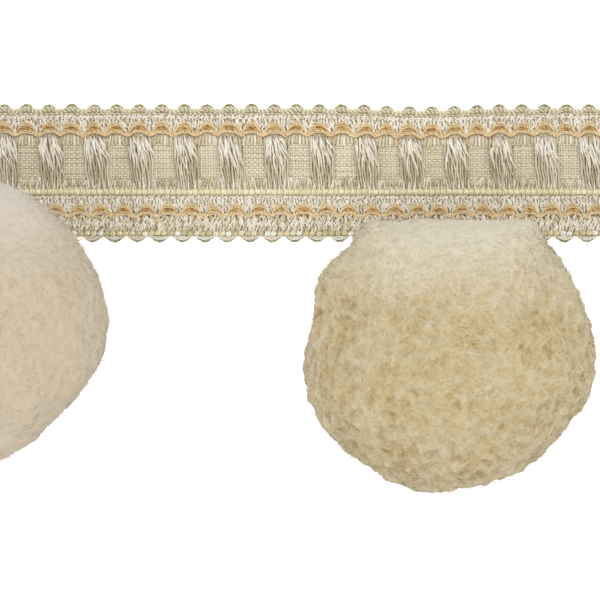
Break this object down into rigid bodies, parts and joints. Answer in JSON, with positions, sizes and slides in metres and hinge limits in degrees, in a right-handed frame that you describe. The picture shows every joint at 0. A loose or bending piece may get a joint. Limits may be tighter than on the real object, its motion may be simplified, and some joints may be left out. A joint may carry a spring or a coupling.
{
  "type": "pompom fringe trim",
  "caption": "Cut length of woven furnishing trim with a ladder of floss bars, serpentine cords and scalloped edges, and round cut-pile pompoms tied along its lower edge.",
  "frame": {"origin": "on the flat back of the heading, midway between its cut ends, at the centre of the heading's width", "axes": "+X along the heading, +Y across it towards the free upper edge, away from the pompoms, +Z out of its face"},
  "size_m": [0.2032, 0.0827, 0.0566],
  "materials": {
    "ground": "plain woven cream and beige cotton",
    "picot": "looped olive and silver-white yarn",
    "wave_cord": "twisted golden yarn",
    "rib": "chain-stitched pale yellow yarn",
    "floss": "satin white floss",
    "pile": "cut wool-like pile, cream",
    "tie": "twisted cream cord"
  },
  "bodies": {
    "root": {"heading_tape": "ground", "upper_picot": "picot", "lower_picot": "picot", "upper_wave_cord": "wave_cord", "lower_wave_cord": "wave_cord", "chain_rib": "rib", "floss_bar_01": "floss", "floss_bar_02": "floss", "floss_bar_03": "floss", "floss_bar_04": "floss", "floss_bar_05": "floss", "floss_bar_06": "floss", "floss_bar_07": "floss", "floss_bar_08": "floss", "floss_bar_09": "floss", "floss_bar_10": "floss", "floss_bar_11": "floss", "floss_bar_12": "floss", "floss_bar_13": "floss", "floss_bar_14": "floss", "floss_bar_15": "floss", "floss_bar_16": "floss", "floss_bar_17": "floss", "floss_bar_18": "floss", "floss_bar_19": "floss", "floss_bar_20": "floss", "pompom_left": "pile", "pompom_right": "pile", "tie_left": "tie", "tie_right": "tie"}
  },
  "joints": []
}
